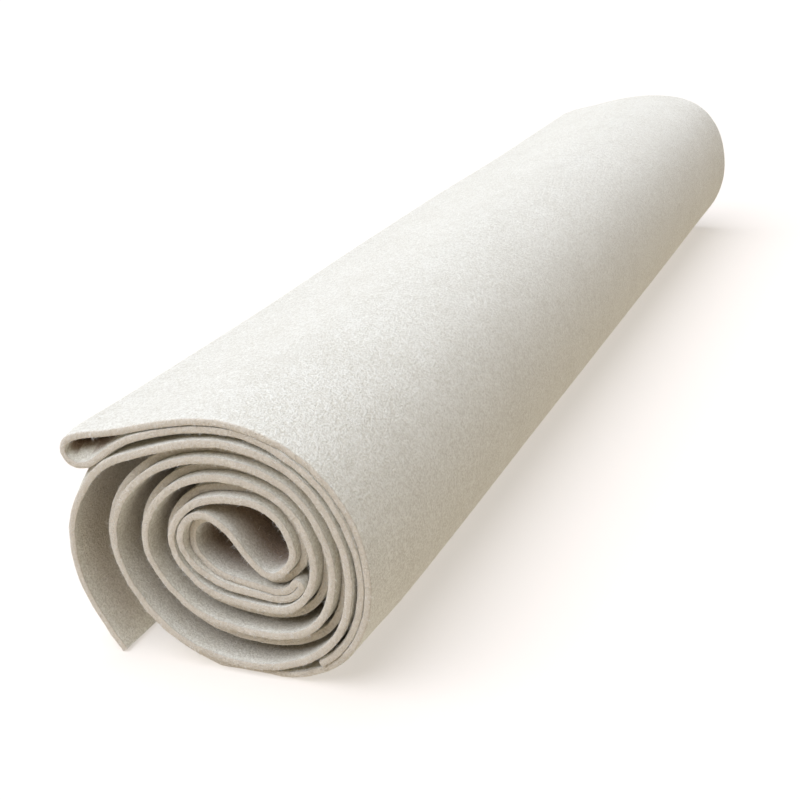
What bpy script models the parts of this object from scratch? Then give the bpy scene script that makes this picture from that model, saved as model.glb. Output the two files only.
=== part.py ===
"""Roll of felt: one cut length of felt, folded in half and rolled up from its crease.

The doubled strip starts with an S-shaped hook in the core and winds outward, anticlockwise as seen
from the near end (-Y). After three turns its two plies part: the inner one drops off the roll as a
loose flap, the outer one stands out in a soft fold and is tucked back under itself.
The roll lies along Y, on a small flat spot at Z = 0.
"""
import math

import bmesh
import bpy
import numpy as np

MM = 0.001

# Driving sizes
ROLL_LENGTH = 440 * MM      # the cut width of the felt
PLY = 1.8 * MM              # thickness of the felt, pressed in the roll
PLY_GAP = 0.3 * MM          # clear space between two plies that lie together
PITCH = PLY + PLY_GAP       # from the middle of one ply to the next
CORE_X = 8.75 * MM          # the core's centre, across from the middle of the part
CORE_Z = 36.7 * MM          # and above the surface that the roll rests on
CHORD_ERROR = 0.12 * MM     # how far a straight facet may leave the curve

FELT_COLOUR = (0.86, 0.84, 0.80, 1.0)
FELT_ROUGHNESS = 0.95

# The hook in the core, along the middle of the doubled strip: place, across and up from the core's
# centre, in mm
HOOK = (
    ("crease", 16.5, -7.4),
    ("under the right loop", 14.2, -9.7),
    ("low right", 10.6, -11.0),
    ("bottom", 3.6, -10.6),
    ("low left", -5.4, -9.0),
    ("lower left", -11.6, -5.8),
    ("left loop", -15.2, 0.2),
    ("left loop, high", -13.6, 6.0),
    ("left loop, top", -8.6, 9.0),
    ("over the left hole", -3.6, 7.2),
    ("middle of the S", 1.0, 1.6),
    ("down the S", 4.6, -3.6),
    ("right loop, low", 9.8, -6.2),
    ("right loop", 14.6, -3.6),
)

# The turns, one row each: distance in mm from the core's centre to the middle of the doubled strip,
# on eight sides, in the order in which the strip passes them; the last place lies past its end
SIDES = ("right", "upper right", "top", "upper left", "left", "lower left", "bottom", "lower right")
TURNS = (
    (17.4, 18.8, 16.5, 17.9, 20.4, 18.1, 16.5, 21.0),
    (23.6, 23.6, 22.1, 24.4, 28.7, 27.2, 25.2, 28.3),
    (28.4, 28.1, 27.0, 31.0, 39.3, 38.2, 35.1, 35.3),
    (34.2, 33.9, 33.3, 38.6),
)

# Where the two plies sag apart, and where those of the last turn part: side, turn, mm from ply to ply
PARTING = (
    ("left", 1, 2.1),
    ("lower left", 1, 3.1),
    ("bottom", 1, 3.5),
    ("lower right", 1, 2.7),
    ("right", 2, 2.1),
    ("left", 2, 2.1),
    ("lower left", 2, 3.5),
    ("bottom", 2, 4.1),
    ("lower right", 2, 2.9),
    ("right", 3, 2.1),
    ("left", 3, 2.1),
    ("lower left", 3, 2.2),
    ("bottom", 3, 2.9),
    ("lower right", 3, 4.8),
    ("right", 4, 4.8),
    ("upper right", 4, 4.8),
    ("top", 4, 5.6),
)

# The inner ply beyond the top of the last turn, down to its cut end: across and up, in mm
FLAP = (
    ("upper left", -25.6, 25.4),
    ("leaving the roll", -37.4, 20.6),
    ("shoulder", -44.3, 14.2),
    ("side", -51.1, 3.5),
    ("widest", -53.3, -7.2),
    ("turning in", -51.0, -20.8),
    ("cut end", -43.1, -36.6),
)

# The outer ply beyond the top, round the standing fold and back under itself
FOLD = (
    ("upper left", -18.0, 34.0),
    ("over the flap", -34.6, 30.4),
    ("brow", -44.6, 28.6),
    ("fold, high", -48.4, 26.4),
    ("fold", -49.2, 23.6),
    ("fold, low", -47.4, 21.2),
    ("lip", -43.6, 20.4),
    ("under the brow", -37.0, 23.4),
    ("closing in", -27.6, 28.2),
    ("tucked in", -17.4, 31.7),
)
TUCK_STARTS = math.radians(98)      # from here the tucked ply lies inside the outer ply
TUCK_ENDS = math.radians(-57)       # to here, past the right side, where its cut end lies

# How far the sheet lies towards the far end, as its doubled strip is rolled a little askew: mm along
# the sheet from the crease, counted towards the tucked end, and mm along the roll
ASKEW = (
    (-40, -1.6),
    (0, -0.8),
    (40, 0.6),
    (130, 1.6),
    (440, 1.4),
    (505, 0.0),
    (575, -0.7),
    (700, -1.1),
)

# How the roll spreads along its length: mm from the near end, then the share by which it is wider
# there than at the near end on each of the eight sides
SPREAD = (
    (0, 0.000, 0.000, 0.000, 0.000, 0.000, 0.000, 0.000, 0.000),
    (35, 0.020, 0.010, 0.000, -0.010, -0.010, 0.000, 0.000, 0.030),
    (100, 0.022, 0.015, 0.008, -0.012, -0.005, 0.000, 0.000, 0.030),
    (220, 0.015, 0.015, 0.015, 0.012, 0.005, 0.000, 0.000, 0.020),
    (340, 0.012, 0.015, 0.008, 0.004, 0.005, 0.000, 0.000, 0.015),
    (440, 0.010, 0.045, -0.020, 0.022, 0.000, 0.000, 0.000, 0.010),
)


def across(direction):
    """The direction turned clockwise by a right angle: outward, for a path that turns anticlockwise."""
    return np.stack([direction[:, 1], -direction[:, 0]], axis=1)


def headings(path):
    """Unit direction of the path at each of its points."""
    step = np.gradient(path, axis=0)
    return step / np.linalg.norm(step, axis=1)[:, None]


def curve_through(stations, step=0.4 * MM):
    """A natural cubic spline through the stations, and the parameter of each of its points."""
    stations = np.asarray(stations, dtype=float)
    chords = np.linalg.norm(np.diff(stations, axis=0), axis=1)
    knots = np.concatenate([[0.0], np.cumsum(chords)])
    count = len(stations)
    system = np.eye(count)
    target = np.zeros_like(stations)
    for i in range(1, count - 1):
        before, after = chords[i - 1], chords[i]
        system[i, i - 1:i + 2] = (before, 2 * (before + after), after)
        target[i] = 6 * ((stations[i + 1] - stations[i]) / after - (stations[i] - stations[i - 1]) / before)
    bend = np.linalg.solve(system, target)
    along = np.linspace(0, knots[-1], int(knots[-1] / step) + 1)
    piece = np.clip(np.searchsorted(knots, along, side="right") - 1, 0, count - 2)
    chord = chords[piece][:, None]
    left = (knots[piece + 1] - along)[:, None] / chord
    right = 1 - left
    curve = left * stations[piece] + right * stations[piece + 1]
    curve += ((left ** 3 - left) * bend[piece] + (right ** 3 - right) * bend[piece + 1]) * chord ** 2 / 6
    return curve, along, knots


def places(rows):
    """The across and up sizes of a table's rows, in metres."""
    return [(row[1] * MM, row[2] * MM) for row in rows]


def winding_stations():
    """Stations of the doubled strip: the hook's, then those of the turns."""
    stations = places(HOOK)
    for turn in TURNS:
        for side, radius in enumerate(turn):
            angle = math.tau * side / len(SIDES)
            stations.append((radius * MM * math.cos(angle), radius * MM * math.sin(angle)))
    return stations


def mark(knots, side, turn):
    """Where along the strip it passes a side in a turn."""
    return knots[len(HOOK) + (turn - 1) * len(SIDES) + SIDES.index(side)]


def parting_at(along, knots):
    """Distance from ply to ply along the strip: one pitch, and more where the plies part."""
    width = np.full_like(along, PITCH)
    for (side, turn, before), (next_side, next_turn, after) in zip(PARTING, PARTING[1:]):
        start, end = mark(knots, side, turn), mark(knots, next_side, next_turn)
        share = np.clip((along - start) / (end - start), 0, 1)
        width += (after - before) * MM * share * share * (3 - 2 * share)
    return width


def carried_on(path, rows, lead=14 * MM, leads=3):
    """The path's continuation through the rows' places, starting where the path ends."""
    length = np.concatenate([[0.0], np.cumsum(np.linalg.norm(np.diff(path, axis=0), axis=1))])
    before = [path[np.searchsorted(length, length[-1] - lead * (leads - i))] for i in range(leads)]
    stations = before + [path[-1]] + places(rows)
    curve, along, knots = curve_through(stations)
    return curve[along > knots[leads]]


def tucked_ply(outer):
    """The end of the sheet, tucked back inside the outer ply, from the top to its cut end."""
    angle = np.unwrap(np.arctan2(outer[:, 1], outer[:, 0]))
    angle -= math.tau * round((angle[-1] - math.pi / 2) / math.tau)
    inside = outer - across(headings(outer)) * PITCH
    keep = (angle < TUCK_STARTS) & (angle > TUCK_ENDS)
    last_turn = np.arange(len(outer)) > len(outer) // 2
    return inside[keep & last_turn][::-1]


def sheet_path():
    """The middle of the sheet, seen from the near end, from the flap's end to the tucked end, and the
    crease's index."""
    middle, along, knots = curve_through(winding_stations())
    half = parting_at(along, knots)[:, None] / 2
    outward = across(headings(middle))
    doubled = along <= mark(knots, *PARTING[-1][:2])
    inner, outer = (middle - outward * half)[doubled], (middle + outward * half)[doubled]
    flap = carried_on(inner, FLAP)
    fold = carried_on(outer, FOLD)
    tucked = tucked_ply(outer)
    joined, joined_along, joined_knots = curve_through(
        [fold[-60], fold[-30], fold[-1], tucked[20], tucked[50], tucked[80]])
    bridge = joined[(joined_along > joined_knots[2]) & (joined_along < joined_knots[3])]
    start = math.atan2(*(inner[0] - middle[0])[::-1])
    bends = np.linspace(0, math.pi, 9)[1:-1]
    crease = [middle[0] + half[0] * np.array([math.cos(start + b), math.sin(start + b)]) for b in bends]
    path = np.concatenate([flap[::-1], inner[::-1], crease, outer, fold, bridge, tucked[20:]])
    return path, len(flap) + len(inner) + len(crease) // 2


def thinned(path):
    """Indices of the points that keep the path within the chord error of its curve."""
    kept = [0]
    first = 0
    for i in range(2, len(path)):
        chord = path[i] - path[first]
        off = path[first + 1:i] - path[first]
        distance = np.abs(off[:, 0] * chord[1] - off[:, 1] * chord[0]) / np.linalg.norm(chord)
        if distance.max() > CHORD_ERROR:
            first = i - 1
            kept.append(first)
    kept.append(len(path) - 1)
    return kept


def spread_round(path, shares):
    """For each point of the path, the share by which the roll is wider on that point's side."""
    turned = np.arctan2(path[:, 1], path[:, 0]) / math.tau % 1 * len(SIDES)
    side = turned.astype(int) % len(SIDES)
    beyond = turned - turned.astype(int)
    beyond = beyond * beyond * (3 - 2 * beyond)
    shares = np.array(shares)
    return shares[side] * (1 - beyond) + shares[(side + 1) % len(SIDES)] * beyond


def rolled(path, back, place, shares):
    """The path at a place along the roll: spread, set back at its askew parts, and flat where it rests."""
    wider = 1 + spread_round(path, shares)
    x = path[:, 0] * wider + CORE_X
    z = path[:, 1] * wider + CORE_Z
    half_height = PLY / 2 * np.abs(headings(path)[:, 0])
    return np.stack([x, place * MM - ROLL_LENGTH / 2 + back, np.maximum(z, half_height)], axis=1)


def felt_material():
    material = bpy.data.materials.new("felt")
    material.use_nodes = True
    shader = material.node_tree.nodes["Principled BSDF"]
    shader.inputs["Base Color"].default_value = FELT_COLOUR
    shader.inputs["Roughness"].default_value = FELT_ROUGHNESS
    shader.inputs["Metallic"].default_value = 0.0
    return material


def felt_roll(collection):
    """The sheet as one surface through its middle, given its thickness by Solidify."""
    whole, crease = sheet_path()
    length = np.concatenate([[0.0], np.cumsum(np.linalg.norm(np.diff(whole, axis=0), axis=1))])
    kept = thinned(whole)
    path, back = whole[kept], np.interp(length[kept] - length[crease], *(np.array(ASKEW).T * MM))
    bm = bmesh.new()
    first = [bm.verts.new(point) for point in rolled(path, back, SPREAD[0][0], SPREAD[0][1:])]
    row = [bm.edges.new(pair) for pair in zip(first, first[1:])]
    for place, *shares in SPREAD[1:]:
        made = bmesh.ops.extrude_edge_only(bm, edges=row)["geom"]
        verts = [item for item in made if isinstance(item, bmesh.types.BMVert)]
        row = [item for item in made if isinstance(item, bmesh.types.BMEdge)]
        bm.verts.index_update()
        verts.sort(key=lambda vert: vert.index)
        for vert, point in zip(verts, rolled(path, back, place, shares)):
            vert.co = point
    bmesh.ops.recalc_face_normals(bm, faces=bm.faces)
    mesh = bpy.data.meshes.new("felt_roll")
    bm.to_mesh(mesh)
    bm.free()
    roll = bpy.data.objects.new("felt_roll", mesh)
    collection.objects.link(roll)
    mesh.materials.append(felt_material())
    mesh.shade_smooth()
    thickness = roll.modifiers.new("thickness", "SOLIDIFY")
    thickness.thickness = PLY
    thickness.offset = 0.0
    thickness.use_even_offset = True
    thickness.use_quality_normals = True
    return roll


def main():
    for old in list(bpy.data.objects):
        bpy.data.objects.remove(old, do_unlink=True)
    collection = bpy.data.collections.new("roll_of_felt")
    bpy.context.scene.collection.children.link(collection)
    felt_roll(collection)


main()
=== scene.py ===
"""Roll of felt: the looks of a loosely rolled length of thick, off-white, softly napped felt.

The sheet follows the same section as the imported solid, with rounded cut edges, plies that don't end
quite flush, a standing fold that closes up behind the mouths, and a nap of loose fibres.
"""
import math

import bmesh
import bpy
import numpy as np
from bpy.props import FloatProperty, FloatVectorProperty, IntProperty, PointerProperty
from mathutils import Euler, Matrix, Vector
from mathutils.bvhtree import BVHTree


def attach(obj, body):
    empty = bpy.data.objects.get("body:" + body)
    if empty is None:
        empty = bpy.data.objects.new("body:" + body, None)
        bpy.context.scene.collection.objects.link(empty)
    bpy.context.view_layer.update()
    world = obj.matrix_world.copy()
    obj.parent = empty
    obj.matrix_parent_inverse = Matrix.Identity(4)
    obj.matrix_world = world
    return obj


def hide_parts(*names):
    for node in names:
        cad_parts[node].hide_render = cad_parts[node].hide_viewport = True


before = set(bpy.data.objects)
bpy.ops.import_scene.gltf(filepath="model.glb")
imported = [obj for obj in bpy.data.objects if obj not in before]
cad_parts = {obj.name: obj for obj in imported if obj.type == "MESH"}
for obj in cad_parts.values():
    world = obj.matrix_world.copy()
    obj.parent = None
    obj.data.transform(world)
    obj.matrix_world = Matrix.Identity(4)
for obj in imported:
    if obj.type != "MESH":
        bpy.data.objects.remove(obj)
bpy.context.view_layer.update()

bl_info = {
    "name": "Roll of Felt",
    "version": (1, 0, 0),
    "blender": (4, 5, 0),
    "location": "View3D > Sidebar > Felt",
    "description": "A loosely rolled length of thick felt with soft cut edges and a fine nap",
    "category": "Add Mesh",
}

MM = 0.001

# Middle of the doubled strip's hook in the core: place, across and up from the core's centre, in mm
HOOK = (
    ("crease", 16.5, -7.4),
    ("under the right loop", 14.2, -9.7),
    ("low right", 10.6, -11.0),
    ("bottom", 3.6, -10.6),
    ("low left", -5.4, -9.0),
    ("lower left", -11.6, -5.8),
    ("left loop", -15.2, 0.2),
    ("left loop, high", -13.6, 6.0),
    ("left loop, top", -8.6, 9.0),
    ("over the left hole", -3.6, 7.2),
    ("middle of the S", 1.0, 1.6),
    ("down the S", 4.6, -3.6),
    ("right loop, low", 9.8, -6.2),
    ("right loop", 14.6, -3.6),
)

# The turns, one row each: mm from the core's centre to the middle of the doubled strip, on eight
# sides, in the order in which the strip passes them; the last place lies past its end
SIDES = ("right", "upper right", "top", "upper left", "left", "lower left", "bottom", "lower right")
TURNS = (
    (17.4, 18.8, 16.5, 17.9, 20.4, 18.1, 16.5, 21.0),
    (23.6, 23.6, 22.1, 24.4, 28.7, 27.2, 25.2, 28.3),
    (28.4, 28.1, 27.0, 31.0, 39.3, 38.2, 35.1, 35.3),
    (34.2, 33.9, 33.3, 38.6),
)

# Where the two plies sag apart, and where those of the last turn part: side, turn, mm from ply to ply
PARTING = (
    ("left", 1, 2.1),
    ("lower left", 1, 3.1),
    ("bottom", 1, 3.5),
    ("lower right", 1, 2.7),
    ("right", 2, 2.1),
    ("left", 2, 2.1),
    ("lower left", 2, 3.5),
    ("bottom", 2, 4.1),
    ("lower right", 2, 2.9),
    ("right", 3, 2.1),
    ("left", 3, 2.1),
    ("lower left", 3, 2.2),
    ("bottom", 3, 2.9),
    ("lower right", 3, 4.8),
    ("right", 4, 4.8),
    ("upper right", 4, 4.8),
    ("top", 4, 5.6),
)

# The inner ply beyond the top of the last turn, down to its cut end: across and up, in mm
FLAP = (
    ("upper left", -25.6, 25.4),
    ("leaving the roll", -37.4, 20.6),
    ("shoulder", -44.3, 14.2),
    ("side", -51.1, 3.5),
    ("widest", -53.3, -7.2),
    ("turning in", -51.0, -20.8),
    ("cut end", -43.1, -36.6),
)

# The outer ply beyond the top, round the standing fold and back under itself
FOLD = (
    ("upper left", -18.0, 34.0),
    ("over the flap", -34.6, 30.4),
    ("brow", -44.6, 28.6),
    ("fold, high", -48.4, 26.4),
    ("fold", -49.2, 23.6),
    ("fold, low", -47.4, 21.2),
    ("lip", -43.6, 20.4),
    ("under the brow", -37.0, 23.5),
    ("closing in", -27.6, 28.8),
    ("tucked in", -17.4, 31.7),
)
TUCK_STARTS = math.radians(98)      # from here the tucked ply lies inside the outer ply
TUCK_ENDS = math.radians(-57)       # to here, past the right side, where its cut end lies

# The same fold a little way in from the ends, where its two sides lie pressed together
PRESSED_FOLD = (
    ("upper left", -18.0, 34.0),
    ("over the flap", -34.6, 30.5),
    ("brow", -44.4, 28.7),
    ("fold, high", -47.9, 27.7),
    ("fold", -49.0, 26.0),
    ("fold, low", -47.7, 24.5),
    ("lip", -43.9, 24.2),
    ("under the brow", -37.0, 25.7),
    ("closing in", -27.6, 29.7),
    ("tucked in", -17.4, 31.7),
)

# The flap there, which rises to lie close under the fold
LIFTED_FLAP = (
    ("upper left", -25.8, 26.0),
    ("leaving the roll", -38.2, 22.4),
    ("shoulder", -46.0, 15.6),
    ("side", -51.9, 4.2),
    ("widest", -53.3, -7.2),
    ("turning in", -51.0, -20.8),
    ("cut end", -43.1, -36.6),
)
PRESSED_FROM = 5 * MM               # the fold and the flap lie so from this far in

# How far the sheet lies towards the far end, as its doubled strip is rolled a little askew: mm along
# the sheet from the crease, counted towards the tucked end, and mm along the roll
ASKEW = (
    (-40, -1.6),
    (0, -0.8),
    (40, 0.6),
    (130, 1.6),
    (440, 1.4),
    (505, 0.0),
    (575, -0.7),
    (700, -1.1),
)

# How the roll spreads along its length: mm from the near end, then the share by which it is wider
# there than at the near end on each of the eight sides
SPREAD = (
    (0, 0.000, 0.000, 0.000, 0.000, 0.000, 0.000, 0.000, 0.000),
    (35, 0.020, 0.010, 0.000, -0.010, -0.010, 0.000, 0.000, 0.030),
    (100, 0.022, 0.015, 0.008, -0.012, -0.005, 0.000, 0.000, 0.030),
    (220, 0.015, 0.015, 0.015, 0.012, 0.005, 0.000, 0.000, 0.020),
    (340, 0.012, 0.015, 0.008, 0.004, 0.005, 0.000, 0.000, 0.015),
    (440, 0.010, 0.045, -0.020, 0.022, 0.000, 0.000, 0.000, 0.010),
)


class FeltSheetSettings(bpy.types.PropertyGroup):
    """Sizes of the felt and of its winding."""

    ply: FloatProperty(
        name="Thickness", unit="LENGTH", default=2.04 * MM, description="Thickness of the felt")
    pitch: FloatProperty(
        name="Pitch", unit="LENGTH", default=2.1 * MM,
        description="From the middle of one touching ply to the next")
    cut_width: FloatProperty(
        name="Cut width", unit="LENGTH", default=0.44,
        description="Width of the felt, and length of the roll")
    core_across: FloatProperty(
        name="Core across", unit="LENGTH", default=8.75 * MM,
        description="The core's centre from the roll's middle")
    core_height: FloatProperty(
        name="Core height", unit="LENGTH", default=36.7 * MM, description="The core's centre above the floor")
    edge_round: FloatProperty(
        name="Edge rounding", unit="LENGTH", default=0.35 * MM,
        description="How far in the cut edge is rounded off")
    rim_round: FloatProperty(
        name="Rim rounding", unit="LENGTH", default=1.3 * MM,
        description="The same for the outer rim of the roll")
    rim_from: FloatProperty(
        name="Rim from", unit="LENGTH", default=0.5,
        description="Where on the sheet the outer rim starts, counted from the crease")
    ragged: FloatProperty(
        name="Ragged", unit="LENGTH", default=0.35 * MM,
        description="How far the cut edge wanders along the felt")
    wander: FloatProperty(
        name="Wander", unit="LENGTH", default=0.25 * MM,
        description="How far the roll strays from a straight one")
    chord_error: FloatProperty(
        name="Chord error", unit="LENGTH", default=0.021 * MM,
        description="How far a facet may leave the curve")
    length_steps: IntProperty(
        name="Length steps", default=28, description="Facets along the roll, beyond those near its ends")


class FeltLookSettings(bpy.types.PropertyGroup):
    """Colours and surface of the felt."""

    light: FloatVectorProperty(
        name="Light", description="Colour of the felt where its fibres lie thick", subtype="COLOR",
        default=(0.875, 0.83, 0.685), min=0, max=1)
    shade: FloatVectorProperty(
        name="Shade", description="Colour of the felt where its fibres lie thin", subtype="COLOR",
        default=(0.645, 0.585, 0.44), min=0, max=1)
    cut: FloatVectorProperty(
        name="Cut edge", description="Colour of the cut edge", subtype="COLOR",
        default=(0.68, 0.56, 0.405), min=0, max=1)
    # Painted shade: where the inside attribute is set, the felt's colour is multiplied by this, darkening the
    # core, the standing fold and the gaps between the turns
    inside: FloatVectorProperty(
        name="Inside", description="Share of its colour that the felt keeps deep in the core",
        subtype="COLOR", default=(0.43, 0.32, 0.25), min=0, max=1)
    clump: FloatProperty(
        name="Clump", description="Size of the clumps of fibre", default=1.5 * MM, unit="LENGTH")
    relief: FloatProperty(
        name="Relief", description="Depth of the surface's pits", default=0.8 * MM, unit="LENGTH")


class NapSettings(bpy.types.PropertyGroup):
    """The loose fibres that stand off the felt."""

    fibre: FloatProperty(name="Fibre", description="Length of a loose fibre", default=1.1 * MM, unit="LENGTH")
    thickness: FloatProperty(
        name="Fibre thickness", description="Thickness of a loose fibre", default=0.07 * MM, unit="LENGTH")
    face_density: FloatProperty(
        name="On the faces", description="Fibres on a square metre of open face", default=50000)
    edge_density: FloatProperty(
        name="On the cut edges", description="Fibres on a square metre of cut edge", default=2400000)
    seed: IntProperty(name="Seed", description="Seed of the fibres' places", default=7)


class StageSettings(bpy.types.PropertyGroup):
    """Floor, lights and camera."""

    floor: FloatVectorProperty(
        name="Floor", description="Colour of the floor", subtype="COLOR",
        default=(0.43, 0.38, 0.315), min=0, max=1)
    glow: FloatProperty(name="Floor glow", description="Light that comes up through the floor", default=0.50)
    glow_colour: FloatVectorProperty(
        name="Glow colour", description="Colour of the light that comes up through the floor",
        subtype="COLOR", default=(1.0, 0.975, 0.945), min=0, max=1)
    key_strength: FloatProperty(name="Key", description="Strength of the soft light overhead", default=5.8)
    key_colour: FloatVectorProperty(
        name="Key colour", description="Colour of the light overhead", subtype="COLOR",
        default=(0.763, 0.825, 1.0), min=0, max=1)
    key_spread: FloatProperty(
        name="Key spread", description="How wide the soft light is, as seen from the roll", subtype="ANGLE",
        default=math.radians(75))
    key_lean: FloatProperty(
        name="Key lean", description="How far the light leans to the left of overhead", subtype="ANGLE",
        default=math.radians(14))
    key_front: FloatProperty(
        name="Key front", description="How far the light leans to the near end", subtype="ANGLE",
        default=math.radians(14))
    sky: FloatProperty(name="Sky", description="Strength of the light from all round", default=0.10)
    sky_colour: FloatVectorProperty(
        name="Sky colour", description="Colour of the light from all round", subtype="COLOR",
        default=(1.0, 0.80, 0.50), min=0, max=1)
    lens: FloatProperty(name="Lens", description="Focal length on a 36 mm frame, in mm", default=54.0)
    camera_place: FloatVectorProperty(
        name="Camera", description="Place of the camera", subtype="TRANSLATION", unit="LENGTH",
        default=(0.17197, -0.43763, 0.18126))
    azimuth: FloatProperty(
        name="Azimuth", description="Camera's angle round the roll", subtype="ANGLE",
        default=math.radians(27.311))
    elevation: FloatProperty(
        name="Elevation", description="Camera's angle above level", subtype="ANGLE",
        default=math.radians(22.088))
    roll: FloatProperty(
        name="Roll", description="Camera's lean", subtype="ANGLE", default=math.radians(-6.978))


def eased(share):
    """The share from 0 to 1 with a soft start and a soft end."""
    return share * share * (3 - 2 * share)


def across(direction):
    """The direction turned clockwise by a right angle: outward, for a path that turns anticlockwise."""
    return np.stack([direction[:, 1], -direction[:, 0]], axis=1)


def headings(path):
    """Unit direction of the path at each of its points."""
    step = np.gradient(path, axis=0)
    return step / np.linalg.norm(step, axis=1)[:, None]


def lengths_along(path):
    """Distance along the path to each of its points."""
    return np.concatenate([[0.0], np.cumsum(np.linalg.norm(np.diff(path, axis=0), axis=1))])


def curve_through(stations, step=0.4 * MM):
    """A natural cubic spline through the stations, and the parameter of each of its points."""
    stations = np.asarray(stations, dtype=float)
    knots = lengths_along(stations)
    chords = np.diff(knots)
    count = len(stations)
    system = np.eye(count)
    target = np.zeros_like(stations)
    for i in range(1, count - 1):
        before, after = chords[i - 1], chords[i]
        system[i, i - 1:i + 2] = (before, 2 * (before + after), after)
        target[i] = 6 * ((stations[i + 1] - stations[i]) / after - (stations[i] - stations[i - 1]) / before)
    bend = np.linalg.solve(system, target)
    along = np.linspace(0, knots[-1], int(knots[-1] / step) + 1)
    piece = np.clip(np.searchsorted(knots, along, side="right") - 1, 0, count - 2)
    chord = chords[piece][:, None]
    left = (knots[piece + 1] - along)[:, None] / chord
    right = 1 - left
    curve = left * stations[piece] + right * stations[piece + 1]
    curve += ((left ** 3 - left) * bend[piece] + (right ** 3 - right) * bend[piece + 1]) * chord ** 2 / 6
    return curve, along, knots


def places(rows):
    """The across and up sizes of a table's rows, in metres."""
    return [(row[1] * MM, row[2] * MM) for row in rows]


def winding_stations():
    """Stations of the doubled strip: the hook's, then those of the turns."""
    stations = places(HOOK)
    for turn in TURNS:
        for side, radius in enumerate(turn):
            angle = math.tau * side / len(SIDES)
            stations.append((radius * MM * math.cos(angle), radius * MM * math.sin(angle)))
    return stations


def mark(knots, side, turn):
    """Where along the strip it passes a side in a turn."""
    return knots[len(HOOK) + (turn - 1) * len(SIDES) + SIDES.index(side)]


def parting_at(along, knots, pitch):
    """Distance from ply to ply along the strip: one pitch, and more where the plies part."""
    width = np.full_like(along, pitch)
    for (side, turn, before), (next_side, next_turn, after) in zip(PARTING, PARTING[1:]):
        start, end = mark(knots, side, turn), mark(knots, next_side, next_turn)
        share = np.clip((along - start) / (end - start), 0, 1)
        width += (after - before) * MM * eased(share)
    return width


def carried_on(path, rows, lead=14 * MM, leads=3):
    """The path's continuation through the rows' places, starting where the path ends."""
    length = lengths_along(path)
    before = [path[np.searchsorted(length, length[-1] - lead * (leads - i))] for i in range(leads)]
    curve, along, knots = curve_through(before + [path[-1]] + places(rows))
    return curve[along > knots[leads]]


def evened(path, count):
    """The path with that many points, evenly spaced along it."""
    length = lengths_along(path)
    at = np.linspace(0, length[-1], count)
    return np.stack([np.interp(at, length, path[:, 0]), np.interp(at, length, path[:, 1])], axis=1)


def tucked_ply(outer, pitch):
    """The end of the sheet, tucked back inside the outer ply, from the top to its cut end."""
    angle = np.unwrap(np.arctan2(outer[:, 1], outer[:, 0]))
    angle -= math.tau * round((angle[-1] - math.pi / 2) / math.tau)
    inside = outer - across(headings(outer)) * pitch
    keep = (angle < TUCK_STARTS) & (angle > TUCK_ENDS)
    last_turn = np.arange(len(outer)) > len(outer) // 2
    return inside[keep & last_turn][::-1]


BRIDGE_FROM = (-60, -30, -1)        # the fold's last points, which lead into the bridge to the tucked ply
BRIDGE_TO = (20, 50, 80)            # the tucked ply's points that it leads to
CREASE_FACETS = 8                   # round the bend of the crease


def sheet_path(pitch):
    """The middle of the felt in section, from the flap's end to the tucked end, the crease's index, and
    how each point moves where the fold is pressed together and the flap lifted."""
    middle, along, knots = curve_through(winding_stations())
    half = parting_at(along, knots, pitch)[:, None] / 2
    outward = across(headings(middle))
    doubled = along <= mark(knots, *PARTING[-1][:2])
    inner, outer = (middle - outward * half)[doubled], (middle + outward * half)[doubled]
    flap, lifted = carried_on(inner, FLAP), carried_on(inner, LIFTED_FLAP)
    fold, pressed = carried_on(outer, FOLD), carried_on(outer, PRESSED_FOLD)
    tucked = tucked_ply(outer, pitch)
    joined, joined_along, joined_knots = curve_through(
        [fold[i] for i in BRIDGE_FROM] + [tucked[i] for i in BRIDGE_TO])
    leaves, meets = joined_knots[len(BRIDGE_FROM) - 1:len(BRIDGE_FROM) + 1]
    bridge = joined[(joined_along > leaves) & (joined_along < meets)]
    start = math.atan2(*(inner[0] - middle[0])[::-1])
    bends = np.linspace(0, math.pi, CREASE_FACETS + 1)[1:-1]
    crease = [middle[0] + half[0] * np.array([math.cos(start + b), math.sin(start + b)]) for b in bends]
    before_fold = [flap[::-1], inner[::-1], crease, outer]
    path = np.concatenate([*before_fold, fold, bridge, tucked[BRIDGE_TO[0]:]])
    pressing = np.zeros_like(path)
    pressing[:len(flap)] = (evened(lifted, len(flap)) - evened(flap, len(flap)))[::-1]
    first = sum(len(part) for part in before_fold)
    pressing[first:first + len(fold)] = evened(pressed, len(fold)) - evened(fold, len(fold))
    return path, len(flap) + len(inner) + len(crease) // 2, pressing


def bulge(path, first, last):
    """How far the path strays from the chord between two of its points."""
    chord = path[last] - path[first]
    off = path[first + 1:last] - path[first]
    return (np.abs(off[:, 0] * chord[1] - off[:, 1] * chord[0]) / np.linalg.norm(chord)).max()


def thinned(paths, chord_error):
    """Indices of the points that keep each of the paths within the chord error of its curve."""
    kept = [0]
    for i in range(2, len(paths[0])):
        if max(bulge(path, kept[-1], i) for path in paths) > chord_error:
            kept.append(i - 1)
    kept.append(len(paths[0]) - 1)
    return np.array(kept)


def fullness(distance, rounding):
    """Share of the felt's thickness at a distance in from the cut edge."""
    inside = np.clip(distance / rounding, 0, 1)
    return (1 - (1 - inside) ** 3) ** (1 / 3)


# Sine waves, one row each: wavelength in metres, share, and phase in radians
RAGGED_WAVES = (
    (0.071, 0.50, 0.3),
    (0.023, 0.30, 1.9),
    (0.0087, 0.25, 4.1),
    (0.0031, 0.18, 2.2),
    (0.0013, 0.12, 5.0),
)
SIDE_WAVES = ((0.31, 0.50, 0.8), (0.13, 0.30, 2.6))
LIFT_WAVES = ((0.27, 0.50, 2.1), (0.11, 0.35, 0.4))


def waves(place, rows):
    """Sum of the rows' sine waves along the roll or the cut edge."""
    return sum(share * np.sin(math.tau * place / length + phase) for length, share, phase in rows)


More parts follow.
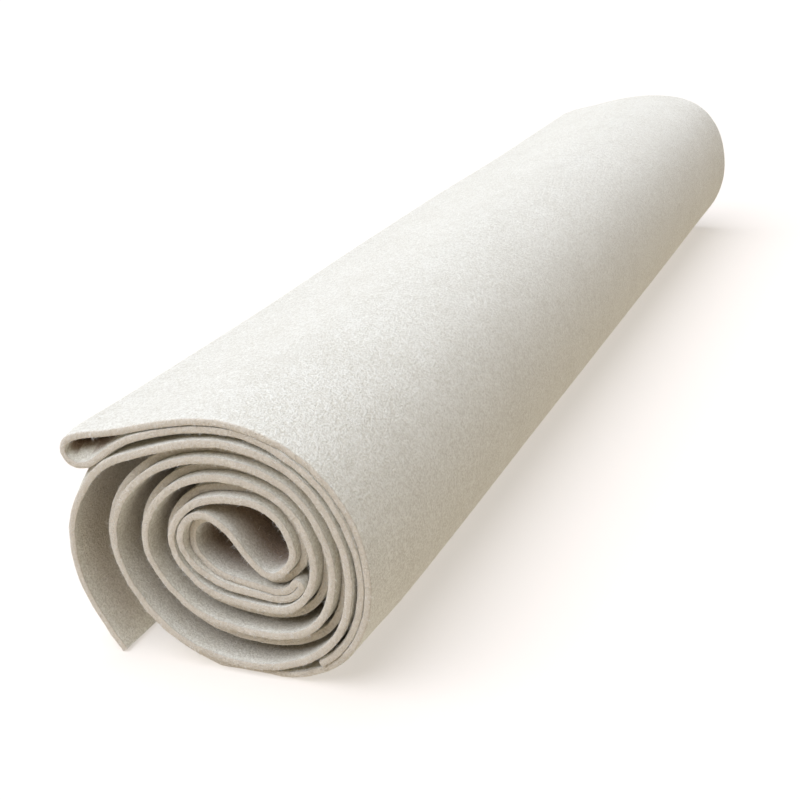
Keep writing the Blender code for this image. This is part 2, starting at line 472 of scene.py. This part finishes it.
def weights(values, knots):
    """For each value, the share of each knot in it: of the two that it lies between, eased."""
    lower = np.clip(np.searchsorted(knots, values, side="right") - 1, 0, len(knots) - 2)
    share = eased(np.clip((values - knots[lower]) / (knots[lower + 1] - knots[lower]), 0, 1))
    found = np.zeros((len(values), len(knots)))
    found[np.arange(len(values)), lower] = 1 - share
    found[np.arange(len(values)), lower + 1] = share
    return found


def spread_at(x, z, y):
    """How much wider the roll is than at its near end, for each point of the section at each place along."""
    table = np.array(SPREAD)
    sides = np.concatenate([table[:, 1:], table[:, 1:2]], axis=1)
    round_the_core = weights(np.arctan2(z, x) % math.tau, np.linspace(0, math.tau, sides.shape[1]))
    return round_the_core @ sides.T @ weights(y, table[:, 0] * MM).T


ROUNDING_ROWS = (0.0, 0.04, 0.14, 0.32, 0.6, 1.0)   # shares of the rim's rounding
INNER_ROWS = (1.5, 3, 5, 8, 11, 14, 20, 28)         # mm in from the cut edge
RAGGED_REACH = 12 * MM              # the cut edge's waves fade out this far in
FAR_EDGE_SHIFT = 0.4                # the far edge has another stretch of the same waves, in metres
LIFT_SLANT = 0.3                    # how much the waves of the lift slant across the roll
ROLL_RADIUS = 40 * MM
RIM_GROWS = 40 * MM                 # the rim's rounding grows to its full size over this length
FLOOR_GAP = 0.02 * MM


def grown_sheet(sheet):
    """The felt as a grid: its middle, its outward direction, its half thickness on either side and its
    distance to a cut edge, and the length of the sheet when it is flat."""
    path, crease, pressing = sheet_path(sheet.pitch)
    length = lengths_along(path)
    kept = thinned((path, path + pressing), sheet.chord_error)
    steps = sheet.rim_round * np.array(ROUNDING_ROWS)
    places_along = np.unique(np.concatenate([
        steps, length[kept][(length[kept] > steps[-1]) & (length[kept] < length[-1] - steps[-1])],
        length[-1] - steps]))

    def at_places(values):
        return np.stack([np.interp(places_along, length, values[:, i]) for i in (0, 1)])[:, :, None]

    inner = np.concatenate([
        steps, np.array(INNER_ROWS) * MM,
        np.linspace(INNER_ROWS[-1] * MM, sheet.cut_width / 2, sheet.length_steps // 2 + 1)[1:]])
    in_from_edge = np.concatenate([inner, inner[-2::-1]])[None]
    sign = np.concatenate([np.full(len(inner), -1.0), np.full(len(inner) - 1, 1.0)])[None]
    ragged = sheet.ragged * (1 - np.clip(in_from_edge / RAGGED_REACH, 0, 1)) ** 2 * waves(
        places_along[:, None] + np.where(sign < 0, 0.0, FAR_EDGE_SHIFT), RAGGED_WAVES)
    back = np.interp(places_along - length[crease], *(np.array(ASKEW).T * MM))[:, None]
    along_roll = sheet.cut_width / 2 + sign * (sheet.cut_width / 2 - in_from_edge)
    y = along_roll - sheet.cut_width / 2 + sign * ragged + back

    press = eased(np.clip(in_from_edge / PRESSED_FROM, 0, 1))[None]
    x, z = at_places(path) + press * at_places(pressing)
    open_heading, pressed_heading = at_places(headings(path)), at_places(headings(path + pressing))
    tx, tz = open_heading + press * (pressed_heading - open_heading)
    scale = np.hypot(tx, tz)
    tx, tz = tx / scale, tz / scale

    spread = 1 + spread_at(x[:, 0], z[:, 0], along_roll[0])
    grid_x = x * spread + sheet.core_across + sheet.wander * waves(y, SIDE_WAVES)
    lift = sheet.wander * waves(y + LIFT_SLANT * x, LIFT_WAVES) * (z / ROLL_RADIUS + 1) / 2
    grid_z = z * spread + sheet.core_height + lift
    from_ends = np.minimum(places_along, length[-1] - places_along)[:, None]
    rim = np.clip((places_along - length[crease] - sheet.rim_from) / RIM_GROWS, 0, 1)[:, None]
    front = fullness(in_from_edge, sheet.edge_round * (1 - rim) + sheet.rim_round * rim)
    back_side = np.broadcast_to(fullness(in_from_edge, sheet.edge_round), front.shape)
    half = sheet.ply / 2 * fullness(from_ends, sheet.edge_round) * np.stack([front, back_side])
    grid_z = np.maximum(grid_z, sheet.ply / 2 * np.abs(tx) + FLOOR_GAP)
    middle = np.stack([grid_x, y, grid_z], axis=2)
    outward = np.stack([tz, np.zeros_like(y), -tx], axis=2)
    return middle, outward, half, np.minimum(in_from_edge, from_ends), length[-1]


def shell_mesh(name, middle, outward, half):
    """A closed mesh of the sheet, whose two faces meet all round in the cut edge, and which points of the
    grid lie on that edge."""
    rows, columns = half.shape[1:]
    index = np.arange(rows * columns).reshape(rows, columns)
    rim = np.zeros((rows, columns), bool)
    rim[0] = rim[-1] = True
    rim[:, 0] = rim[:, -1] = True
    back = np.where(rim, index, 0)
    back[~rim] = rows * columns + np.arange((~rim).sum())
    front_points = (middle + outward * half[0, ..., None]).reshape(-1, 3)
    back_points = (middle - outward * half[1, ..., None])[~rim]
    over = np.stack([index[:-1, :-1], index[:-1, 1:], index[1:, 1:], index[1:, :-1]], axis=2)
    under = np.stack([back[:-1, :-1], back[1:, :-1], back[1:, 1:], back[:-1, 1:]], axis=2)
    faces = np.concatenate([over.reshape(-1, 4), under.reshape(-1, 4)])
    mesh = bpy.data.meshes.new(name)
    mesh.from_pydata(np.concatenate([front_points, back_points]).tolist(), [], faces.tolist())
    mesh.update()
    return mesh, rim


def facing_out(mesh):
    """Turns the mesh inside out if its faces point inwards."""
    shell = bmesh.new()
    shell.from_mesh(mesh)
    if shell.calc_volume(signed=True) < 0:
        bmesh.ops.reverse_faces(shell, faces=shell.faces)
    shell.to_mesh(mesh)
    shell.free()


def set_attribute(mesh, name, values):
    """Stores one number for each vertex."""
    stored = mesh.attributes.new(name, "FLOAT", "POINT")
    stored.data.foreach_set("value", np.asarray(values, np.float32).ravel())


OFF_THE_FACE = 0.05 * MM            # rays start here, clear of the face that they leave


def open_air(mesh, reach):
    """For each vertex, 1 where nothing lies in front of it within reach, and less where a ply is near."""
    tree = BVHTree.FromPolygons([v.co for v in mesh.vertices], [p.vertices[:] for p in mesh.polygons])
    found = []
    for vertex in mesh.vertices:
        hit = tree.ray_cast(vertex.co + vertex.normal * OFF_THE_FACE, vertex.normal, reach)
        found.append(1.0 if hit[0] is None else hit[3] / reach)
    return np.array(found)


# Where shade is painted into the felt's colour behind the mouths: places are counted from the core's centre
CORE_RADIUS = 15 * MM
CORE_FADES = 8 * MM                 # beyond its radius
FOLD_SIDE = -30 * MM                # the standing fold lies further left than this
FOLD_FADES = 6 * MM
FOLD_LOWEST = 19 * MM               # and higher than this
BETWEEN_TURNS = 0.4                 # share of the core's dimness
DIM_FROM = 0.5 * MM                 # in from the cut edge
DIM_OVER = 8 * MM                   # from there to the full dimness
FOLD_DIM_OVER = 3 * MM              # the same in the fold
FACING_PLY = 40 * MM                # felt with nothing in front of it within this reach stays light


def painted_shade_share(mesh, sheet, depth):
    """For each vertex, the share of painted shade that darkens the felt's colour behind the mouths: wholly in
    the core and in the standing fold, and in part between the turns."""
    points = np.array([vertex.co for vertex in mesh.vertices])
    x, z = points[:, 0] - sheet.core_across, points[:, 2] - sheet.core_height
    core = 1 - np.clip((np.hypot(x, z) - CORE_RADIUS) / CORE_FADES, 0, 1)
    fold = np.clip((FOLD_SIDE - x) / FOLD_FADES, 0, 1) * (z > FOLD_LOWEST)
    share = BETWEEN_TURNS + (1 - BETWEEN_TURNS) * np.maximum(core, fold)
    dim_over = DIM_OVER + (FOLD_DIM_OVER - DIM_OVER) * fold
    return share * np.clip((depth - DIM_FROM) / dim_over, 0, 1) * (open_air(mesh, FACING_PLY) < 1)


def placed(name, mesh):
    """A new object at the origin that holds the mesh."""
    piece = bpy.data.objects.new(name, mesh)
    bpy.context.scene.collection.objects.link(piece)
    mesh.shade_smooth()
    return piece


def add_node(tree, kind, inputs=(), **settings):
    """A node with its settings, and its inputs set to values or linked to sockets."""
    node = tree.nodes.new(kind)
    for key, value in settings.items():
        setattr(node, key, value)
    for key, value in dict(inputs).items():
        if isinstance(value, bpy.types.NodeSocket):
            tree.links.new(value, node.inputs[key])
        else:
            node.inputs[key].default_value = value
    return node


def maths(tree, operation, first, second):
    """The result of a Math node."""
    return add_node(tree, "ShaderNodeMath", {0: first, 1: second}, operation=operation).outputs[0]


def blended(tree, share, under, over, blend_type="MIX"):
    """Two colours mixed by a share."""
    return add_node(tree, "ShaderNodeMix", {0: share, 6: under, 7: over},
                    data_type="RGBA", blend_type=blend_type).outputs[2]


def ranged(tree, value, at_none, at_full):
    """A value from 0 to 1, taken to the range between the other two."""
    return add_node(tree, "ShaderNodeMapRange", {
        "Value": value, "To Min": at_none, "To Max": at_full}).outputs["Result"]


def mottle_group():
    """Node group of the felt's surface: where fibres lie thick, and how high they stand."""
    name = "Felt mottle"
    if name in bpy.data.node_groups:
        return bpy.data.node_groups[name]
    tree = bpy.data.node_groups.new(name, "ShaderNodeTree")
    clump = tree.interface.new_socket("Clump", in_out="INPUT", socket_type="NodeSocketFloat")
    clump.default_value = 1.5 * MM
    tree.interface.new_socket("Thick", in_out="OUTPUT", socket_type="NodeSocketFloat")
    tree.interface.new_socket("Height", in_out="OUTPUT", socket_type="NodeSocketFloat")
    entry = tree.nodes.new("NodeGroupInput")
    leave = tree.nodes.new("NodeGroupOutput")
    place = add_node(tree, "ShaderNodeTexCoord").outputs["Object"]
    rate = maths(tree, "DIVIDE", 1.0, entry.outputs["Clump"])

    def noise(times, detail, roughness, distortion=0.0, offset=(0, 0, 0)):
        moved = add_node(tree, "ShaderNodeMapping", {"Vector": place, "Location": offset})
        return add_node(tree, "ShaderNodeTexNoise", {
            "Vector": moved.outputs[0], "Scale": maths(tree, "MULTIPLY", rate, times), "Detail": detail,
            "Roughness": roughness, "Distortion": distortion}).outputs["Fac"]

    def mixed(a, b, share):
        return add_node(tree, "ShaderNodeMix", {0: share, 2: a, 3: b}, data_type="FLOAT").outputs[0]

    cloud = noise(0.12, detail=2.0, roughness=0.5, distortion=0.3, offset=(0.31, 0.07, 0.11))
    clumps = noise(0.8, detail=2.0, roughness=0.6)
    grain = noise(2.4, detail=3.0, roughness=0.75, distortion=0.1, offset=(0.13, 0.41, 0.23))
    thick = mixed(mixed(clumps, cloud, share=0.3), grain, share=0.75)
    spread = add_node(tree, "ShaderNodeMapRange", {
        "Value": thick, "From Min": 0.40, "From Max": 0.60}).outputs["Result"]
    tree.links.new(spread, leave.inputs["Thick"])
    tree.links.new(mixed(clumps, grain, share=0.7), leave.inputs["Height"])
    return tree


def mottled(name, clump):
    """A new material with the felt's mottle in it: the material, its nodes, its shader and the mottle."""
    material = bpy.data.materials.new(name)
    material.use_nodes = True
    tree = material.node_tree
    mottle = add_node(tree, "ShaderNodeGroup", node_tree=mottle_group())
    mottle.inputs["Clump"].default_value = clump
    return material, tree, tree.nodes["Principled BSDF"], mottle


CUT_COLOUR = 0.62                   # share of the cut edge's own colour on it
CUT_RELIEF = 1.6                    # how much deeper the pits are on the cut edge than on the faces
ROUGH_THIN, ROUGH_THICK = 1.0, 0.86     # roughness where the fibres lie thin, and thick


def felt_material(looks):
    """Matt napped felt, a little duller and rougher on its cut edge, with shade painted into its colour
    inside the roll.
    """
    material, tree, shader, mottle = mottled("felt", looks.clump)
    cut = add_node(tree, "ShaderNodeAttribute", attribute_name="cut").outputs["Fac"]
    inside = add_node(tree, "ShaderNodeAttribute", attribute_name="inside").outputs["Fac"]
    face = blended(tree, mottle.outputs["Thick"], (*looks.shade, 1), (*looks.light, 1))
    edge = blended(tree, CUT_COLOUR, face, (*looks.cut, 1))
    # Painted shade: the inside attribute multiplies the colour by the inside colour behind the mouths
    colour = blended(tree, inside, blended(tree, cut, face, edge), (*looks.inside, 1), "MULTIPLY")
    rough = ranged(tree, mottle.outputs["Thick"], ROUGH_THIN, ROUGH_THICK)
    raised = maths(tree, "MULTIPLY", mottle.outputs["Height"], ranged(tree, cut, 1.0, CUT_RELIEF))
    bump = add_node(tree, "ShaderNodeBump", {"Strength": 1.0, "Distance": looks.relief, "Height": raised})
    tree.links.new(colour, shader.inputs["Base Color"])
    tree.links.new(rough, shader.inputs["Roughness"])
    tree.links.new(bump.outputs["Normal"], shader.inputs["Normal"])
    shader.inputs["Specular IOR Level"].default_value = 0.15
    shader.inputs["Sheen Weight"].default_value = 0.25
    shader.inputs["Sheen Roughness"].default_value = 0.55
    return material


FIBRE_LIGHT = (0.92, 0.90, 0.86, 1)     # the lightest fibres


def fibre_material(looks):
    """Single loose fibres, lighter than the felt they stand on."""
    material, tree, shader, mottle = mottled("felt fibre", looks.clump * 2)
    colour = blended(tree, mottle.outputs["Thick"], (*looks.light, 1), FIBRE_LIGHT)
    tree.links.new(colour, shader.inputs["Base Color"])
    shader.inputs["Roughness"].default_value = 0.8
    shader.inputs["Specular IOR Level"].default_value = 0.2
    return material


NAP_INPUTS = {
    "Geometry": "NodeSocketGeometry",
    "Density": "NodeSocketFloat",
    "Where": "NodeSocketString",
    "Fibre": "NodeSocketFloat",
    "Thickness": "NodeSocketFloat",
    "Seed": "NodeSocketInt",
    "Material": "NodeSocketMaterial",
}
FIBRE_BEND = 0.45                   # how far a fibre's tip bends aside, as a share of its length
LEAST_LEAN, MOST_LEAN = 0.35, 1.45  # of a fibre from upright, in radians
SHORTEST, LONGEST = 0.45, 1.3       # fibres, as shares of the set length


def nap_tree():
    """Geometry Nodes tree: bent loose fibres scattered over a surface by one of its attributes."""
    tree = bpy.data.node_groups.new("Felt nap", "GeometryNodeTree")
    for name, kind in NAP_INPUTS.items():
        tree.interface.new_socket(name, in_out="INPUT", socket_type=kind)
    tree.interface.new_socket("Geometry", in_out="OUTPUT", socket_type="NodeSocketGeometry")
    entry = tree.nodes.new("NodeGroupInput").outputs
    leave = tree.nodes.new("NodeGroupOutput")

    where = add_node(tree, "GeometryNodeInputNamedAttribute", {"Name": entry["Where"]}, data_type="FLOAT")
    points = add_node(tree, "GeometryNodeDistributePointsOnFaces", {
        "Mesh": entry["Geometry"], "Density": maths(tree, "MULTIPLY", entry["Density"], where.outputs[0]),
        "Seed": entry["Seed"]}, distribute_method="RANDOM")

    radius = maths(tree, "MULTIPLY", entry["Thickness"], 0.5)
    needle = add_node(tree, "GeometryNodeMeshCone", {
        "Vertices": 3, "Side Segments": 2, "Radius Top": 0.0, "Radius Bottom": radius,
        "Depth": entry["Fibre"]}, fill_type="NGON").outputs["Mesh"]
    spot = add_node(tree, "GeometryNodeInputPosition").outputs[0]
    height = add_node(tree, "ShaderNodeSeparateXYZ", {0: spot}).outputs["Z"]
    squared = maths(tree, "POWER", maths(tree, "DIVIDE", height, entry["Fibre"]), 2.0)
    aside = maths(tree, "MULTIPLY", maths(tree, "MULTIPLY", squared, entry["Fibre"]), FIBRE_BEND)
    offset = add_node(tree, "ShaderNodeCombineXYZ", {"X": aside}).outputs[0]
    bent = add_node(tree, "GeometryNodeSetPosition", {"Geometry": needle, "Offset": offset}).outputs[0]

    lean = add_node(tree, "FunctionNodeRandomValue", {
        0: (LEAST_LEAN, 0.0, 0.0), 1: (MOST_LEAN, 0.0, math.tau), "Seed": entry["Seed"]},
        data_type="FLOAT_VECTOR").outputs[0]
    leaning = add_node(tree, "FunctionNodeEulerToRotation", {0: lean}).outputs[0]
    turned = add_node(tree, "FunctionNodeRotateRotation", {
        0: points.outputs["Rotation"], 1: leaning}, rotation_space="LOCAL").outputs[0]
    size = add_node(tree, "FunctionNodeRandomValue", {
        2: SHORTEST, 3: LONGEST, "Seed": entry["Seed"]}, data_type="FLOAT").outputs[1]
    stuck = add_node(tree, "GeometryNodeInstanceOnPoints", {
        "Points": points.outputs["Points"], "Instance": bent, "Rotation": turned,
        "Scale": size}).outputs[0]
    real = add_node(tree, "GeometryNodeRealizeInstances", {"Geometry": stuck}).outputs[0]
    painted = add_node(tree, "GeometryNodeSetMaterial", {
        "Geometry": real, "Material": entry["Material"]}).outputs[0]
    tree.links.new(painted, leave.inputs["Geometry"])
    return tree


def made_by(tree, name, base, values):
    """A plain mesh object of what the Geometry Nodes tree makes of the base mesh."""
    carrier = bpy.data.objects.new(name + "_carrier", base)
    bpy.context.scene.collection.objects.link(carrier)
    modifier = carrier.modifiers.new("nodes", "NODES")
    modifier.node_group = tree
    sockets = {s.name: s.identifier for s in tree.interface.items_tree if s.in_out == "INPUT"}
    for key, value in values.items():
        modifier[sockets[key]] = value
    graph = bpy.context.evaluated_depsgraph_get()
    mesh = bpy.data.meshes.new_from_object(carrier.evaluated_get(graph), depsgraph=graph)
    mesh.name = name
    bpy.data.objects.remove(carrier, do_unlink=True)
    if not mesh.polygons:
        raise RuntimeError(f"{name} came out empty")
    return placed(name, mesh)


CUT_WHOLE = 0.5                     # the cut edge's look reaches this share of its rounding in
CUT_FADES = 0.6                     # and fades over this one


class FELT_OT_sheet(bpy.types.Operator):
    """Make the felt itself, rolled, with rounded cut edges"""

    bl_idname = "felt.sheet"
    bl_label = "Rolled felt"

    def execute(self, context):
        sheet = context.scene.felt_sheet
        middle, outward, half, to_edge, flat_length = grown_sheet(sheet)
        mesh, rim = shell_mesh("felt_sheet", middle, outward, half)
        cut = 1 - np.clip((to_edge - sheet.edge_round * CUT_WHOLE) / (sheet.edge_round * CUT_FADES), 0, 1)
        set_attribute(mesh, "cut", np.concatenate([cut.ravel(), cut[~rim]]))
        facing_out(mesh)
        depth = np.concatenate([to_edge.ravel(), to_edge[~rim]])
        # Painted shade behind the mouths, stored in the inside attribute
        set_attribute(mesh, "inside", painted_shade_share(mesh, sheet, depth))
        mesh.materials.append(felt_material(context.scene.felt_looks))
        piece = placed("felt_sheet", mesh)
        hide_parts("felt_roll")
        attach(piece, "root")
        piece["flat_length"] = flat_length
        return {"FINISHED"}


NAP_ROOM = 2.5 * MM                 # fibres stand on a face that has this much air in front of it
OPEN_FACE = 0.9                     # share of that air that a face needs
EDGE_FROM = 0.3                     # the cut edge's fibres stand where its look is at least this strong
CROWDED = 0.4                       # share of them that stays where the next ply touches
OFF_THE_FLOOR = 1.5                 # no fibres below this height, in lengths of a fibre


class FELT_OT_nap(bpy.types.Operator):
    """Scatter loose fibres over the felt's open faces and its cut edges"""

    bl_idname = "felt.nap"
    bl_label = "Nap"

    def execute(self, context):
        nap = context.scene.felt_nap
        felt = bpy.data.objects["felt_sheet"]
        base = felt.data.copy()
        cut = np.empty(len(base.vertices), np.float32)
        base.attributes["cut"].data.foreach_get("value", cut)
        raised = np.array([vertex.co.z for vertex in base.vertices]) > OFF_THE_FLOOR * nap.fibre
        air = open_air(base, NAP_ROOM)
        set_attribute(base, "nap_face", (cut <= 0) * raised * (air > OPEN_FACE))
        set_attribute(base, "nap_edge", (cut > EDGE_FROM) * raised * (CROWDED + (1 - CROWDED) * air))
        tree = nap_tree()
        fibre = fibre_material(context.scene.felt_looks)
        made = []
        for name, where, density in (("nap_faces", "nap_face", nap.face_density),
                                     ("nap_edges", "nap_edge", nap.edge_density)):
            made.append(made_by(tree, name, base, {
                "Density": density, "Where": where, "Fibre": nap.fibre, "Thickness": nap.thickness,
                "Seed": nap.seed, "Material": fibre}))
        for piece in made:
            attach(piece, "root")
        return {"FINISHED"}


FLOOR_RADIUS = 40                   # metres, so that its rim lies on the horizon
FLOOR_SIDES = 96


class FELT_OT_stage(bpy.types.Operator):
    """Make the floor, the lights and the camera"""

    bl_idname = "felt.stage"
    bl_label = "Stage"

    def execute(self, context):
        stage = context.scene.felt_stage
        bpy.ops.mesh.primitive_circle_add(vertices=FLOOR_SIDES, radius=FLOOR_RADIUS, fill_type="NGON")
        floor = context.active_object
        floor.name = "floor"
        paint = bpy.data.materials.new("floor")
        paint.use_nodes = True
        shader = paint.node_tree.nodes["Principled BSDF"]
        shader.inputs["Base Color"].default_value = (*stage.floor, 1)
        shader.inputs["Roughness"].default_value = 0.95
        shader.inputs["Specular IOR Level"].default_value = 0.1
        shader.inputs["Emission Color"].default_value = (*stage.glow_colour, 1)
        shader.inputs["Emission Strength"].default_value = stage.glow
        floor.data.materials.append(paint)

        world = bpy.data.worlds.new("studio")
        world.use_nodes = True
        studio = world.node_tree
        light = studio.nodes["Background"]
        light.inputs["Color"].default_value = (*stage.sky_colour, 1)
        light.inputs["Strength"].default_value = stage.sky
        wall = add_node(studio, "ShaderNodeBackground", {"Color": (1, 1, 1, 1), "Strength": 1.0})
        seen = add_node(studio, "ShaderNodeLightPath").outputs["Is Camera Ray"]
        both = add_node(studio, "ShaderNodeMixShader", {0: seen, 1: light.outputs[0], 2: wall.outputs[0]})
        studio.links.new(both.outputs[0], studio.nodes["World Output"].inputs["Surface"])
        context.scene.world = world
        context.scene.view_settings.view_transform = "Standard"
        lamp = bpy.data.lights.new("key", "SUN")
        lamp.energy = stage.key_strength
        lamp.color = stage.key_colour
        lamp.angle = stage.key_spread
        key = bpy.data.objects.new("key", lamp)
        key.rotation_euler = (stage.key_front, -stage.key_lean, 0)
        context.scene.collection.objects.link(key)

        lens = bpy.data.cameras.new("camera")
        lens.lens = stage.lens
        lens.sensor_width = 36
        lens.clip_start = 0.01
        camera = bpy.data.objects.new("camera", lens)
        turn = Euler((math.pi / 2 - stage.elevation, 0, stage.azimuth)).to_matrix()
        turn = turn @ Matrix.Rotation(stage.roll, 3, "Z")
        camera.matrix_world = Matrix.Translation(Vector(stage.camera_place)) @ turn.to_4x4()
        context.scene.collection.objects.link(camera)
        context.scene.camera = camera
        return {"FINISHED"}


class FELT_PT_panel(bpy.types.Panel):
    """Sizes, colours and makers of the roll of felt"""

    bl_label = "Roll of Felt"
    bl_idname = "FELT_PT_panel"
    bl_space_type = "VIEW_3D"
    bl_region_type = "UI"
    bl_category = "Felt"

    def draw(self, context):
        for title, group, maker in (
                ("Felt", "felt_sheet", "felt.sheet"), ("Looks", "felt_looks", None),
                ("Nap", "felt_nap", "felt.nap"), ("Stage", "felt_stage", "felt.stage")):
            box = self.layout.box()
            box.label(text=title)
            settings = getattr(context.scene, group)
            for name in settings.bl_rna.properties.keys():
                if name not in ("rna_type", "name"):
                    box.prop(settings, name)
            if maker:
                box.operator(maker)


SETTINGS = {
    "felt_sheet": FeltSheetSettings,
    "felt_looks": FeltLookSettings,
    "felt_nap": NapSettings,
    "felt_stage": StageSettings,
}
CLASSES = (*SETTINGS.values(), FELT_OT_sheet, FELT_OT_nap, FELT_OT_stage, FELT_PT_panel)


def register():
    for cls in CLASSES:
        bpy.utils.register_class(cls)
    for name, group in SETTINGS.items():
        setattr(bpy.types.Scene, name, PointerProperty(type=group))


def unregister():
    for name in SETTINGS:
        delattr(bpy.types.Scene, name)
    for cls in reversed(CLASSES):
        bpy.utils.unregister_class(cls)


def main():
    register()
    bpy.ops.felt.sheet()
    bpy.ops.felt.nap()
    bpy.ops.felt.stage()


if __name__ == "__main__":
    main()
